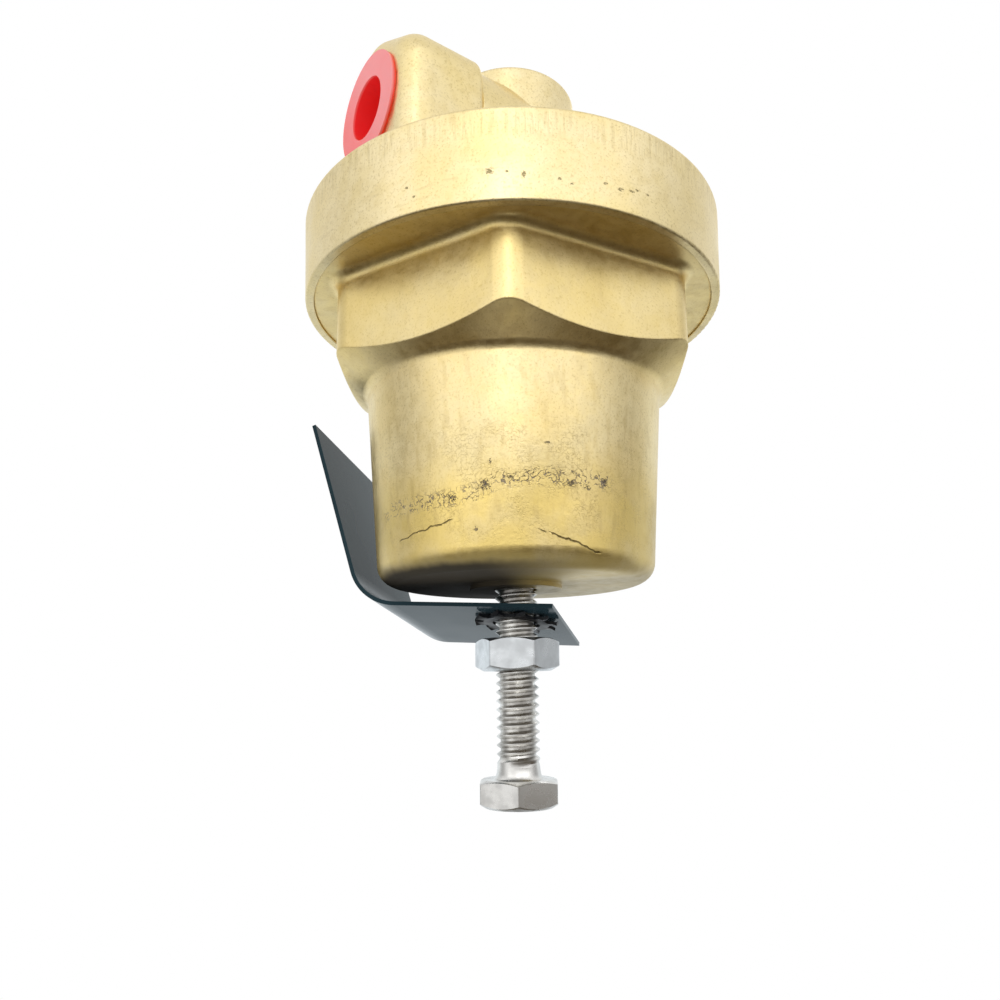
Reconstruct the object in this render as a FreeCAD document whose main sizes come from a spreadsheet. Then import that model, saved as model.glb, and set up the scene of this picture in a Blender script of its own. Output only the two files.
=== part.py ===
"""Differential pressure regulating valve, in millimetres.

The valve stands as it is photographed: adjusting screw down, hub and ports up.
Heights inside a piece are measured from the bonnet's end face, on the valve's axis.
The finished valve is shifted so that the row's origin is the middle of the outlet
port's face, with the port opening towards +X.
"""
import FreeCAD, Part
import os
import re
import Sketcher
from FreeCAD import Placement, Rotation, Vector

doc = FreeCAD.newDocument("regulating_valve")
sheet = doc.addObject("Spreadsheet::Sheet", "Sizes")

SIZES = {
    # Thread of the adjusting screw, a quarter inch with 20 turns to the inch
    "thread_radius": 3.175,
    "running_gap": 0.05,
    "touch_gap": 0.05,
    "seat_gap": 0.3,
    # Adjusting screw: its hexagon head hangs below the bonnet's end face
    "screw_length": 44.45,
    "screw_reach": 28.3,
    "screw_point": 0.9,
    "head_flats": 11.11,
    "head_height": 3.97,
    "head_bevel": 0.55,
    "head_turn": 52.5,
    # Lock nut
    "nut_flats": 11.11,
    "nut_height": 4.75,
    "nut_drop": 8.06,
    "nut_turn": 15.5,
    # Bent tag on the screw, hung askew by a hole near one corner
    "tag_thick": 0.6,
    "tag_drop": 5.0,
    "tag_near": 7.5,
    "tag_far": 20.9,
    "tag_end": 6.75,
    "tag_run": 17.0,
    "tag_bend": 8.2,
    "tag_turn": 67.8,
    "tag_leg": 26.8,
    "tag_hole_radius": 3.6,
    "tag_yaw": -48.6,
    "tag_dip": -8.0,
    "tag_roll": 2.9,
    # Toothed washer under the tag
    "tooth_washer_thick": 0.64,
    "tooth_washer_radius": 6.35,
    "tooth_root_radius": 4.9,
    "tooth_width": 1.7,
    "tooth_sink": 0.5,
    # Bonnet: barrel, hexagon, collar and threaded neck
    "barrel_step": 2.5,
    "barrel_draft": 2.1,
    "barrel_height": 30.7,
    "barrel_foot_round": 2.8,
    "barrel_root_round": 1.5,
    "end_boss_radius": 7.0,
    "end_boss_rise": 0.7,
    "end_wall": 7.0,
    "bonnet_flats": 50.8,
    "bonnet_hex_height": 13.1,
    "bonnet_edge_round": 4.0,
    "bonnet_bevel_angle": 30.0,
    "bonnet_turn": 52.3,
    "collar_height": 0.8,
    "collar_root_round": 1.5,
    "thread_wall": 5.04,
    "neck_height": 4.6,
    "spring_room_radius": 17.2,
    "spring_room_top": 38.0,
    "neck_wall": 3.7,
    "plate_room_height": 3.7,
    # Valve body: flange with a skirt that hides the collar, dome and hub
    "flange_overhang": 7.64,
    "flange_taper": 0.37,
    "flange_height": 12.85,
    "flange_top_round": 0.4,
    "flange_lip_round": 0.25,
    "skirt_wall": 1.64,
    "skirt_depth": 1.1,
    "dome_setback": 3.04,
    "dome_rise": 4.6,
    "dome_arc": 62.0,
    "hub_radius": 10.85,
    "hub_height": 24.9,
    "hub_round": 0.4,
    # Ports: a block with a ridged top on each side of the valve's axis, on a round neck
    "port_neck_length": 2.05,
    "port_rise": 13.85,
    "port_flats": 22.9,
    "port_hex_length": 13.1,
    "port_edge_round": 5.5,
    "port_end_round": 3.9,
    "port_back_round": 1.0,
    "port_foot_sink": 5.6,
    "port_neck_radius": 11.15,
    "port_bore_radius": 5.72,
    "port_bore_depth": 13.0,
    "inlet_hole_radius": 3.6,
    "outlet_drop_radius": 2.0,
    "outlet_drop_offset": 15.4,
    # Chambers of the body, from the diaphragm up
    "rim_width": 4.0,
    "chamber_height": 3.5,
    "stud_room_radius": 9.0,
    "stud_room_height": 1.7,
    "seat_bore_radius": 5.0,
    "seat_bore_height": 4.8,
    "poppet_room_radius": 7.0,
    "plug_bore_radius": 8.0,
    # Diaphragm, its slip ring and the plates that clamp it
    "slip_ring_thick": 0.8,
    "diaphragm_gap": 0.5,
    "diaphragm_thick": 1.0,
    "fold_setback": 2.0,
    "fold_outer": 1.7,
    "fold_inner": 0.7,
    "fold_clearance": 0.5,
    "pressure_plate_thick": 2.0,
    "pilot_radius": 10.4,
    "pilot_height": 2.0,
    "washer_setback": 3.8,
    "washer_thick": 1.0,
    "stud_head_radius": 5.5,
    "stud_head_height": 2.0,
    "stud_radius": 3.0,
    "stud_tail": 0.9,
    "stud_nut_flats": 10.0,
    "stud_nut_height": 4.0,
    # Range spring and the button that the screw pushes
    "button_radius": 15.5,
    "button_thick": 3.0,
    "dimple_depth": 1.5,
    "spring_wire_radius": 1.5,
    "spring_mean_radius": 12.6,
    "spring_turns": 6.0,
    # Seat ring, poppet and closing spring
    "seat_ring_tail": 4.4,
    "seat_flange_radius": 6.6,
    "seat_flange_height": 1.6,
    "seat_hole_radius": 2.6,
    "lip_inner_radius": 2.8,
    "lip_outer_radius": 3.4,
    "lip_height": 0.6,
    "stem_radius": 1.6,
    "seal_radius": 4.6,
    "seal_thick": 1.4,
    "seal_proud": 0.65,
    "poppet_radius": 5.4,
    "poppet_height": 2.7,
    "guide_radius": 2.4,
    "guide_height": 3.4,
    "poppet_wire_radius": 0.4,
    "poppet_spring_radius": 3.15,
    "poppet_spring_turns": 5.0,
    # Plug of the hub and its seal
    "plug_length": 7.7,
    "plug_pocket_radius": 4.2,
    "plug_pocket_depth": 2.0,
    "o_ring_radius": 0.78,
    "o_ring_setback": 3.8,
    "slot_width": 1.8,
    "slot_depth": 2.0,
    # Plastic plug of the inlet and the strainer behind it
    "cap_flange_radius": 8.2,
    "cap_flange_thick": 0.6,
    "cap_mouth_radius": 4.6,
    "cap_barrel_radius": 5.55,
    "cap_tip_radius": 5.2,
    "cap_depth": 9.0,
    "cap_floor": 1.0,
    "screen_rim_thick": 0.6,
    "screen_cup_radius": 4.2,
    "screen_cup_length": 3.0,
    "screen_wall": 0.4,
    "screen_hole_radius": 0.55,
    "screen_holes": 8.0,
}

# Lengths and heights worked out from the sizes above
LEVELS = {
    "flange_radius": "bonnet_flats / 2 + flange_overhang",
    "skirt_radius": "flange_radius - skirt_wall",
    "collar_radius": "skirt_radius - running_gap",
    "dome_radius": "flange_radius - dome_setback",
    "neck_radius": "flange_radius - thread_wall",
    "plate_room_radius": "neck_radius - neck_wall",
    "chamber_radius": "neck_radius - rim_width",
    "diaphragm_radius": "neck_radius - diaphragm_gap",
    "fold_middle": "chamber_radius - fold_setback",
    "pressure_plate_radius": "fold_middle - fold_outer - fold_clearance",
    "washer_radius": "pressure_plate_radius - washer_setback",
    "barrel_top_radius": "bonnet_flats / 2 - barrel_step",
    "barrel_foot_radius": "barrel_top_radius - barrel_draft",
    "barrel_top": "barrel_height - (bonnet_flats / 2 - barrel_top_radius) * tan(bonnet_bevel_angle)",
    "hex_top": "barrel_height + bonnet_hex_height",
    "joint": "hex_top + collar_height",
    "flange_low": "joint - skirt_depth",
    "flange_top": "flange_low + flange_height",
    "port_level": "flange_top + port_rise",
    "hub_top": "flange_top + hub_height",
    "neck_top": "joint + neck_height",
    "rim_low": "neck_top + slip_ring_thick",
    "rim_top": "rim_low + diaphragm_thick",
    "chamber_top": "rim_top + chamber_height",
    "stud_room_top": "chamber_top + stud_room_height",
    "seat_level": "stud_room_top + seat_bore_height",
    "lip_top": "seat_level + seat_flange_height + lip_height",
    "seal_low": "lip_top + touch_gap",
    "poppet_low": "seal_low + seal_proud",
    "poppet_top": "poppet_low + poppet_height",
    "plug_low": "hub_top - plug_length",
    "plug_pocket_top": "plug_low + plug_pocket_depth",
    "plate_low": "rim_low - pressure_plate_thick",
    "stud_nut_top": "plate_low - pilot_height",
    "stud_nut_low": "stud_nut_top - stud_nut_height",
    "stud_low": "stud_nut_low - stud_tail",
    "washer_top": "rim_top + washer_thick",
    "stud_top": "washer_top + stud_head_height",
    "screw_tip": "screw_length - screw_reach",
    "button_low": "screw_tip + touch_gap - dimple_depth",
    "button_top": "button_low + button_thick",
    "port_hex_back": "hub_radius + port_neck_length",
    "port_reach": "port_hex_back + port_hex_length",
    "thread_hole": "thread_radius + running_gap",
    "stud_hole": "stud_radius + running_gap",
}

for row, (name, number) in enumerate(SIZES.items(), start=1):
    sheet.set(f"A{row}", name)
    sheet.set(f"B{row}", str(number))
    sheet.setAlias(f"B{row}", name)
doc.recompute()


def formula(text):
    """A size written in plain names, as an expression on the sheet."""
    def swap(match):
        word = match.group(0)
        if word in LEVELS:
            return f"({formula(LEVELS[word])})"
        if word in SIZES:
            return f"Sizes.{word}"
        return word
    return re.sub(r"[a-z]+(?:_[a-z]+)*", swap, str(text))


def value(text):
    """The same size as a number."""
    return float(sheet.evalExpression(formula(text)))


def bind(thing, prop, text):
    thing.setExpression(prop, formula(text))


def place(piece):
    """Put a piece where the outlet port's face is the origin."""
    bind(piece, "Placement.Base.x", "-port_reach")
    bind(piece, "Placement.Base.z", "-port_level")


def new_body(name):
    body = doc.addObject("PartDesign::Body", name)
    body.Label = name
    place(body)
    return body


def origin_plane(body, role):
    return next(item for item in body.Origin.OriginFeatures if item.Role == role)


def sketch_on(body, name, role, shift="0", side="0"):
    """A sketch on an origin plane, moved along its normal, or along its own Y."""
    sketch = body.newObject("Sketcher::SketchObject", name)
    sketch.AttachmentSupport = (origin_plane(body, role), [""])
    sketch.MapMode = "FlatFace"
    bind(sketch, "AttachmentOffset.Base.z", shift)
    bind(sketch, "AttachmentOffset.Base.y", side)
    return sketch


def pin_point(sketch, item, end, x, y):
    """Hold one end of a line or arc at a named place."""
    for kind, axis, text in (("DistanceX", -2, x), ("DistanceY", -1, y)):
        if text == "0":
            sketch.addConstraint(Sketcher.Constraint("PointOnObject", item, end, axis))
            continue
        rule = sketch.addConstraint(
            Sketcher.Constraint(kind, -1, 1, item, end, value(text)))
        bind(sketch, f"Constraints[{rule}]", text)


def arc_between(start, finish, radius, turn):
    """The short arc from start to finish, turning left (1) or right (-1)."""
    chord = finish - start
    reach = max(radius ** 2 - (chord.Length / 2) ** 2, 0.0) ** 0.5
    across = Vector(-chord.y, chord.x, 0).normalize()
    centre = start + chord * 0.5 + across * (reach * turn)
    middle = centre - across * (radius * turn)
    return Part.Arc(start, middle, finish)


def outline(sketch, points):
    """A closed outline; a point may carry the radius and turn of the arc it starts."""
    spots = [Vector(value(p[0]), value(p[1]), 0) for p in points]
    ends = []
    for index, point in enumerate(points):
        start = spots[index]
        finish = spots[(index + 1) % len(points)]
        if len(point) == 2:
            item = sketch.addGeometry(Part.LineSegment(start, finish))
            ends.append((1, 2))
        else:
            item = sketch.addGeometry(arc_between(start, finish, value(point[2]), point[3]))
            ends.append((1, 2) if point[3] > 0 else (2, 1))
    for index in range(len(points)):
        after = (index + 1) % len(points)
        sketch.addConstraint(Sketcher.Constraint(
            "Coincident", index, ends[index][1], after, ends[after][0]))
    for index, point in enumerate(points):
        pin_point(sketch, index, ends[index][0], point[0], point[1])
        if len(point) > 2:
            rule = sketch.addConstraint(
                Sketcher.Constraint("Radius", index, value(point[2])))
            bind(sketch, f"Constraints[{rule}]", point[2])


def circle(sketch, radius, x="0", y="0"):
    centre = Vector(value(x), value(y), 0)
    item = sketch.addGeometry(Part.Circle(centre, Vector(0, 0, 1), value(radius)))
    pin_point(sketch, item, 3, x, y)
    rule = sketch.addConstraint(Sketcher.Constraint("Radius", item, value(radius)))
    bind(sketch, f"Constraints[{rule}]", radius)


def hexagon(flats, turn):
    """Corners of a hexagon of a given size across its flats."""
    return [(f"cos({turn} + {60 * k}) * {flats} / sqrt(3)",
             f"sin({turn} + {60 * k}) * {flats} / sqrt(3)") for k in range(6)]


def turned(body, name, points, cut=False, along="V_Axis", side="0"):
    """A profile turned round the valve's axis, or round the port's axis."""
    sketch = sketch_on(body, f"{name}_profile", "XZ_Plane", side=side)
    outline(sketch, points)
    kind = "PartDesign::Groove" if cut else "PartDesign::Revolution"
    feature = body.newObject(kind, name)
    feature.Profile = (sketch, [""])
    feature.ReferenceAxis = (sketch, [along])
    feature.Angle = 360
    sketch.Visibility = False
    doc.recompute()
    return feature


def padded(body, name, sketch, length):
    feature = body.newObject("PartDesign::Pad", name)
    feature.Profile = (sketch, [""])
    bind(feature, "Length", length)
    doc.recompute()
    return feature


def pocketed(body, name, sketch, depth, back=False):
    """A cut against the sketch's normal, or along it when back is set."""
    before = body.Shape.Volume
    feature = body.newObject("PartDesign::Pocket", name)
    feature.Profile = (sketch, [""])
    feature.Reversed = back
    bind(feature, "Length", depth)
    doc.recompute()
    if feature.Shape.Volume >= before:
        raise RuntimeError(f"{body.Label}: {name} cuts nothing")
    return feature


def rounded(body, name, radius, wanted):
    """A fillet on the edges of the last feature that the test accepts."""
    base = body.Tip
    edges = [f"Edge{n}" for n, edge in enumerate(base.Shape.Edges, start=1) if wanted(edge)]
    if not edges:
        raise RuntimeError(f"{body.Label}: {name} finds no edge")
    feature = body.newObject("PartDesign::Fillet", name)
    feature.Base = (base, edges)
    bind(feature, "Radius", radius)
    doc.recompute()
    return feature


def ring_edge(radius, level):
    """A test for the round edge of one radius at one height."""
    r, z = value(radius), value(level)

    def test(edge):
        curve = edge.Curve
        if not isinstance(curve, Part.Circle):
            return False
        return abs(curve.Radius - r) < 1e-4 and abs(edge.CenterOfMass.z - z) < 1e-4
    return test


def upright_loop(offset):
    """A test for edges that stand square to the ports at one distance from the axis."""
    x = value(offset)

    def test(edge):
        box = edge.BoundBox
        return box.XLength < 1e-4 and abs(abs(box.XMin) - x) < 1e-4
    return test


def level_edge(level, least, most):
    """A test for edges that lie at one height, between two distances from the axis."""
    z, low, high = value(level), value(least), value(most)

    def test(edge):
        box = edge.BoundBox
        reach = max(Vector(v.X, v.Y, 0).Length for v in edge.Vertexes)
        return abs(box.ZMin - z) < 1e-4 and abs(box.ZMax - z) < 1e-4 and low < reach < high
    return test


def make_valve_body():
    body = new_body("valve_body")

    # One port block, with the top of a hexagon and straight walls that run down into
    # the flange, then its mirror image, with all their edges rounded
    sketch = sketch_on(body, "port_hex_profile", "YZ_Plane", shift="port_hex_back")
    ridge = [(x, f"port_level + {y}") for x, y in hexagon("port_flats", "30")[:3]]
    foot = [(f"{side} * port_flats / 2", "flange_top - port_foot_sink") for side in ("-1", "1")]
    outline(sketch, ridge + foot)
    hexagon_end = padded(body, "port_hex", sketch, "port_hex_length")
    mirror = body.newObject("PartDesign::Mirrored", "second_port")
    mirror.Originals = [hexagon_end]
    mirror.MirrorPlane = (origin_plane(body, "YZ_Plane"), [""])
    body.Tip = mirror
    doc.recompute()
    rounded(body, "port_edge_fillet", "port_edge_round",
            lambda edge: edge.BoundBox.XLength > 1)
    rounded(body, "port_end_fillet", "port_end_round", upright_loop("port_reach"))
    rounded(body, "port_back_fillet", "port_back_round", upright_loop("port_hex_back"))

    # Round neck that carries both port ends
    sketch = sketch_on(body, "port_neck_profile", "YZ_Plane", shift="-port_hex_back")
    circle(sketch, "port_neck_radius", "0", "port_level")
    padded(body, "port_neck", sketch, "2 * port_hex_back")

    # Flange, dome and hub
    turned(body, "flange_and_hub", [
        ("0", "flange_low"),
        ("flange_radius - flange_taper", "flange_low"),
        ("flange_radius", "flange_top"),
        ("dome_radius", "flange_top", "dome_arc", 1),
        ("hub_radius", "flange_top + dome_rise"),
        ("hub_radius", "hub_top"),
        ("0", "hub_top"),
    ])

    # Hub and port neck faced off together
    turned(body, "hub_facing", [
        ("0", "hub_top"),
        ("port_hex_back", "hub_top"),
        ("port_hex_back", "hub_top + port_neck_radius"),
        ("0", "hub_top + port_neck_radius"),
    ], cut=True)

    # Skirt, thread for the bonnet, diaphragm chamber and seat bore
    turned(body, "lower_bore", [
        ("0", "flange_low"),
        ("skirt_radius", "flange_low"),
        ("skirt_radius", "joint"),
        ("neck_radius + running_gap", "joint"),
        ("neck_radius + running_gap", "rim_top"),
        ("chamber_radius", "rim_top"),
        ("chamber_radius", "chamber_top"),
        ("stud_room_radius", "chamber_top"),
        ("stud_room_radius", "stud_room_top"),
        ("seat_bore_radius", "stud_room_top"),
        ("seat_bore_radius", "seat_level"),
        ("0", "seat_level"),
    ], cut=True)

    # Poppet chamber and the bore of the hub's plug
    turned(body, "upper_bore", [
        ("0", "seat_level"),
        ("poppet_room_radius", "seat_level"),
        ("poppet_room_radius", "plug_low"),
        ("plug_bore_radius", "plug_low"),
        ("plug_bore_radius", "hub_top"),
        ("0", "hub_top"),
    ], cut=True)

    # Port bores, the inlet's way to the poppet and the outlet's drop to the chamber
    for name, shift, back in (("outlet_bore", "port_reach", False),
                              ("inlet_bore", "-port_reach", True)):
        sketch = sketch_on(body, f"{name}_profile", "YZ_Plane", shift=shift)
        circle(sketch, "port_bore_radius", "0", "port_level")
        pocketed(body, name, sketch, "port_bore_depth", back)
    sketch = sketch_on(body, "inlet_hole_profile", "YZ_Plane", shift="-port_reach")
    circle(sketch, "inlet_hole_radius", "0", "port_level")
    pocketed(body, "inlet_hole", sketch, "port_reach", True)
    sketch = sketch_on(body, "outlet_drop_profile", "XY_Plane", shift="port_level")
    circle(sketch, "outlet_drop_radius", "outlet_drop_offset", "0")
    pocketed(body, "outlet_drop", sketch, "port_level - chamber_top")

    rounded(body, "flange_top_fillet", "flange_top_round",
            ring_edge("flange_radius", "flange_top"))
    rounded(body, "flange_lip_fillet", "flange_lip_round",
            ring_edge("flange_radius - flange_taper", "flange_low"))
    rounded(body, "hub_fillet", "hub_round", ring_edge("hub_radius", "hub_top"))
    return body


def make_bonnet():
    body = new_body("bonnet")

    # Hexagon with rounded corners, bevelled underneath
    sketch = sketch_on(body, "hex_profile", "XY_Plane", shift="barrel_height")
    outline(sketch, hexagon("bonnet_flats", "bonnet_turn"))
    padded(body, "hexagon", sketch, "bonnet_hex_height")
    rounded(body, "corner_fillet", "bonnet_edge_round",
            lambda edge: edge.BoundBox.ZLength > 1)
    turned(body, "hex_bevel", [
        ("bonnet_flats / 2", "barrel_height"),
        ("bonnet_flats", "barrel_height"),
        ("bonnet_flats", "barrel_height + bonnet_flats / 2 * tan(bonnet_bevel_angle)"),
    ], cut=True)

    # Barrel with its end boss, the collar and the threaded neck
    turned(body, "barrel_and_neck", [
        ("0", "-end_boss_rise"),
        ("end_boss_radius", "-end_boss_rise"),
        ("end_boss_radius", "0"),
        ("barrel_foot_radius", "0"),
        ("barrel_top_radius", "barrel_top"),
        ("bonnet_flats / 2", "barrel_height"),
        ("bonnet_flats / 2", "hex_top"),
        ("collar_radius", "hex_top"),
        ("collar_radius", "joint"),
        ("neck_radius", "joint"),
        ("neck_radius", "neck_top"),
        ("0", "neck_top"),
    ])
    rounded(body, "barrel_foot_fillet", "barrel_foot_round",
            ring_edge("barrel_foot_radius", "0"))
    rounded(body, "barrel_root_fillet", "barrel_root_round",
            ring_edge("barrel_top_radius", "barrel_top"))
    rounded(body, "collar_root_fillet", "collar_root_round",
            level_edge("hex_top", "bonnet_flats / 2", "collar_radius - running_gap"))

    # Thread for the screw, room for the spring and room for the pressure plate
    turned(body, "inside", [
        ("0", "-end_boss_rise"),
        ("thread_hole", "-end_boss_rise"),
        ("thread_hole", "end_wall"),
        ("spring_room_radius", "end_wall"),
        ("spring_room_radius", "spring_room_top"),
        ("plate_room_radius", "neck_top - plate_room_height"),
        ("plate_room_radius", "neck_top"),
        ("0", "neck_top"),
    ], cut=True)
    return body


def bevelled_hex(body, name, flats, turn, low, height, bevel, both_ends):
    """A hexagon prism whose corners are turned off at its lower end, or at both."""
    sketch = sketch_on(body, f"{name}_profile", "XY_Plane", shift=low)
    outline(sketch, hexagon(flats, turn))
    padded(body, name, sketch, height)
    corner = f"{flats} / sqrt(3)"
    top = f"{low} + {height}"
    ends = [(low, f"{low} + {bevel}")]
    if both_ends:
        ends.append((top, f"{top} - ({bevel})"))
    for number, (end, inner) in enumerate(ends, start=1):
        turned(body, f"{name}_bevel_{number}", [
            (f"{flats} / 2 - running_gap", end),
            (f"{corner} + 1", end),
            (f"{corner} + 1", inner),
            (corner, inner),
        ], cut=True)


def make_adjusting_screw():
    body = new_body("adjusting_screw")
    bevelled_hex(body, "head", "head_flats", "head_turn", "-screw_reach - head_height",
                 "head_height", "head_bevel", False)
    turned(body, "shank", [
        ("0", "-screw_reach - head_height / 2"),
        ("thread_radius", "-screw_reach - head_height / 2"),
        ("thread_radius", "screw_tip - screw_point"),
        ("thread_radius - screw_point", "screw_tip"),
        ("0", "screw_tip"),
    ])
    return body


def make_lock_nut():
    body = new_body("lock_nut")
    bevelled_hex(body, "hexagon", "nut_flats", "nut_turn", "-nut_drop - nut_height",
                 "nut_height", "head_bevel", True)
    sketch = sketch_on(body, "hole_profile", "XY_Plane", shift="-nut_drop")
    circle(sketch, "thread_hole")
    pocketed(body, "hole", sketch, "nut_height")
    return body


def hang_askew(body):
    """Tilt a piece about the middle of the tag's hole, as the tag hangs."""
    yaw = Rotation(Vector(0, 0, 1), value("tag_yaw"))
    dip = Rotation(Vector(1, 0, 0), value("tag_dip"))
    roll = Rotation(Vector(0, 1, 0), value("tag_roll"))
    body.Placement = Placement(body.Placement.Base, yaw * dip * roll)
    bind(body, "Placement.Base.z", "-port_level - tag_drop")


def make_tag_plate():
    body = new_body("tag_plate")
    hang_askew(body)
    foot = ("-tag_run - tag_bend * sin(tag_turn)", "tag_bend * (1 - cos(tag_turn))")
    leg = ("- tag_leg * cos(tag_turn)", "+ tag_leg * sin(tag_turn)")
    skin = ("+ tag_thick * sin(tag_turn)", "+ tag_thick * cos(tag_turn)")
    sketch = sketch_on(body, "bend_profile", "XZ_Plane", shift="-tag_far")
    outline(sketch, [
        ("tag_end", "0"),
        ("-tag_run", "0", "tag_bend", -1),
        foot,
        (f"{foot[0]} {leg[0]}", f"{foot[1]} {leg[1]}"),
        (f"{foot[0]} {leg[0]} {skin[0]}", f"{foot[1]} {leg[1]} {skin[1]}"),
        (f"{foot[0]} {skin[0]}", f"{foot[1]} {skin[1]}", "tag_bend - tag_thick", 1),
        ("-tag_run", "tag_thick"),
        ("tag_end", "tag_thick"),
    ])
    padded(body, "bent_sheet", sketch, "tag_near + tag_far")
    sketch = sketch_on(body, "hole_profile", "XY_Plane", shift="tag_thick")
    circle(sketch, "tag_hole_radius")
    pocketed(body, "hole", sketch, "tag_thick")
    return body


def make_tooth_washer():
    body = new_body("tooth_washer")
    hang_askew(body)
    low = "-touch_gap - tooth_washer_thick"
    sketch = sketch_on(body, "ring_profile", "XY_Plane", shift=low)
    circle(sketch, "tooth_root_radius")
    padded(body, "ring", sketch, "tooth_washer_thick")
    sketch = sketch_on(body, "tooth_profile", "XY_Plane", shift=low)
    outline(sketch, [
        ("tooth_root_radius - tooth_sink", "-tooth_width / 2"),
        ("tooth_washer_radius", "-tooth_width / 3"),
        ("tooth_washer_radius", "tooth_width / 3"),
        ("tooth_root_radius - tooth_sink", "tooth_width / 2"),
    ])
    tooth = padded(body, "tooth", sketch, "tooth_washer_thick")
    teeth = body.newObject("PartDesign::PolarPattern", "teeth")
    teeth.Originals = [tooth]
    teeth.Axis = (origin_plane(body, "Z_Axis"), [""])
    teeth.Angle = 360
    teeth.Occurrences = 10
    body.Tip = teeth
    doc.recompute()
    sketch = sketch_on(body, "hole_profile", "XY_Plane", shift="-touch_gap")
    circle(sketch, "tag_hole_radius - running_gap")
    pocketed(body, "hole", sketch, "tooth_washer_thick")
    return body


def make_turned(name, points):
    """A piece turned in one go round the valve's axis."""
    body = new_body(name)
    turned(body, "turning", points)
    return body


def make_spring_button():
    return make_turned("spring_button", [
        ("0", "button_low + dimple_depth"),
        ("thread_radius + seat_gap - screw_point", "button_low + dimple_depth"),
        ("thread_radius + seat_gap", "button_low + dimple_depth - screw_point"),
        ("thread_radius + seat_gap", "button_low"),
        ("button_radius", "button_low"),
        ("button_radius", "button_top"),
        ("pilot_radius", "button_top"),
        ("pilot_radius", "button_top + pilot_height"),
        ("0", "button_top + pilot_height"),
    ])


def make_pressure_plate():
    return make_turned("pressure_plate", [
        ("stud_hole", "plate_low - pilot_height"),
        ("pilot_radius", "plate_low - pilot_height"),
        ("pilot_radius", "plate_low"),
        ("pressure_plate_radius", "plate_low"),
        ("pressure_plate_radius", "rim_low"),
        ("stud_hole", "rim_low"),
    ])


def make_diaphragm():
    return make_turned("diaphragm", [
        ("stud_hole", "rim_low"),
        ("fold_middle - fold_outer", "rim_low", "fold_outer + running_gap", 1),
        ("fold_middle + fold_outer", "rim_low"),
        ("diaphragm_radius", "rim_low"),
        ("diaphragm_radius", "rim_top"),
        ("fold_middle + fold_inner", "rim_top"),
        ("fold_middle + fold_inner", "rim_low", "fold_inner + running_gap", -1),
        ("fold_middle - fold_inner", "rim_low"),
        ("fold_middle - fold_inner", "rim_top"),
        ("stud_hole", "rim_top"),
    ])


def make_diaphragm_washer():
    return make_turned("diaphragm_washer", [
        ("stud_hole", "rim_top"),
        ("washer_radius", "rim_top"),
        ("washer_radius", "washer_top"),
        ("stud_hole", "washer_top"),
    ])


def make_diaphragm_stud():
    return make_turned("diaphragm_stud", [
        ("0", "stud_low"),
        ("stud_radius", "stud_low"),
        ("stud_radius", "washer_top"),
        ("stud_head_radius", "washer_top"),
        ("stud_head_radius", "stud_top"),
        ("0", "stud_top"),
    ])


def make_diaphragm_nut():
    body = new_body("diaphragm_nut")
    bevelled_hex(body, "hexagon", "stud_nut_flats", "0", "stud_nut_low",
                 "stud_nut_height", "head_bevel", True)
    sketch = sketch_on(body, "hole_profile", "XY_Plane", shift="stud_nut_top")
    circle(sketch, "stud_hole")
    pocketed(body, "hole", sketch, "stud_nut_height")
    return body


def make_slip_ring():
    return make_turned("slip_ring", [
        ("plate_room_radius", "neck_top"),
        ("diaphragm_radius", "neck_top"),
        ("diaphragm_radius", "rim_low"),
        ("plate_room_radius", "rim_low"),
    ])


def make_seat_ring():
    return make_turned("seat_ring", [
        ("seat_hole_radius", "seat_level - seat_ring_tail"),
        ("seat_bore_radius - running_gap", "seat_level - seat_ring_tail"),
        ("seat_bore_radius - running_gap", "seat_level"),
        ("seat_flange_radius", "seat_level"),
        ("seat_flange_radius", "seat_level + seat_flange_height"),
        ("lip_outer_radius", "seat_level + seat_flange_height"),
        ("lip_outer_radius", "lip_top"),
        ("lip_inner_radius", "lip_top"),
        ("seat_hole_radius", "seat_level + seat_flange_height"),
    ])


def make_poppet():
    return make_turned("poppet", [
        ("0", "stud_top + touch_gap"),
        ("stem_radius", "stud_top + touch_gap"),
        ("stem_radius", "seal_low + seal_thick"),
        ("seal_radius + running_gap", "seal_low + seal_thick"),
        ("seal_radius + running_gap", "poppet_low"),
        ("poppet_radius", "poppet_low"),
        ("poppet_radius", "poppet_top"),
        ("guide_radius", "poppet_top"),
        ("guide_radius", "poppet_top + guide_height"),
        ("0", "poppet_top + guide_height"),
    ])


def make_poppet_seal():
    return make_turned("poppet_seal", [
        ("stem_radius + running_gap", "seal_low"),
        ("seal_radius", "seal_low"),
        ("seal_radius", "seal_low + seal_thick"),
        ("stem_radius + running_gap", "seal_low + seal_thick"),
    ])


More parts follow.
